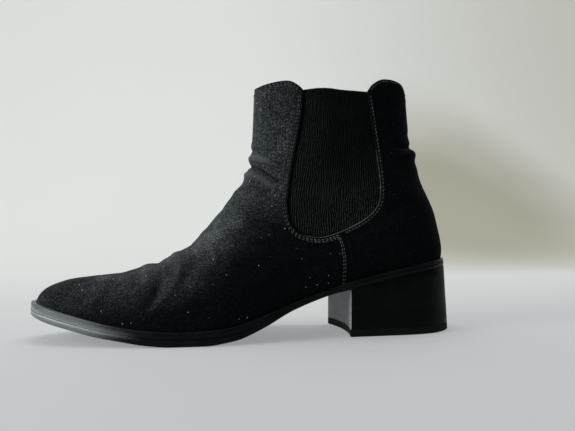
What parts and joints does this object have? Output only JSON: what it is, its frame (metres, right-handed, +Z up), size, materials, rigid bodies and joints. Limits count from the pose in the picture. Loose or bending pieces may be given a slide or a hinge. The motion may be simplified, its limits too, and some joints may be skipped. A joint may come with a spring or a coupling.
{
  "type": "chelsea boot",
  "caption": "Ankle-high pull-on boot with elastic side panels, almond toe, low block heel and thin curved sole; left foot.",
  "frame": {"origin": "on the ground, under the middle of the boot's bounding box", "axes": "+Z up, -X towards the toe, +X towards the heel, -Y towards the lateral (little toe) side"},
  "size_m": [0.2833, 0.0901, 0.174],
  "materials": {
    "suede": "napped black suede, matt, dusty",
    "elastic": "ribbed black elastic webbing",
    "lining_leather": "smooth dark lining leather",
    "stiffener": "thermoplastic stiffener sheet",
    "tape": "woven reinforcing tape",
    "fibreboard": "pressed cellulose board",
    "cork": "granulated cork sheet",
    "steel": "plain steel",
    "insock_leather": "smooth leather over thin foam",
    "foam": "soft latex foam",
    "sole": "black resin rubber, satin edge",
    "rand_strip": "waxed dark edge strip with a soft sheen",
    "heel_lifts": "black painted stacked lifts",
    "top_piece_rubber": "hard black rubber",
    "thread": "black waxed thread"
  },
  "bodies": {
    "root": {"vamp": "suede", "quarter_lateral": "suede", "quarter_medial": "suede", "gore_lateral": "elastic", "gore_medial": "elastic", "lining_front": "lining_leather", "lining_back": "lining_leather", "toe_puff": "stiffener", "heel_counter": "stiffener", "collar_tape_front": "tape", "collar_tape_back": "tape", "back_seam_tape": "tape", "insole_board": "fibreboard", "shankboard": "fibreboard", "forefoot_filler": "cork", "shank": "steel", "shank_rivets": "steel", "heel_nails": "steel", "heel_screw": "steel", "top_piece_pins": "steel", "insock": "insock_leather", "heel_pad": "foam", "outsole": "sole", "rand": "rand_strip", "heel_block": "heel_lifts", "top_piece": "top_piece_rubber", "gore_stitching_lateral": "thread", "gore_stitching_medial": "thread", "side_seam_stitching": "thread", "collar_stitching": "thread"}
  },
  "joints": []
}
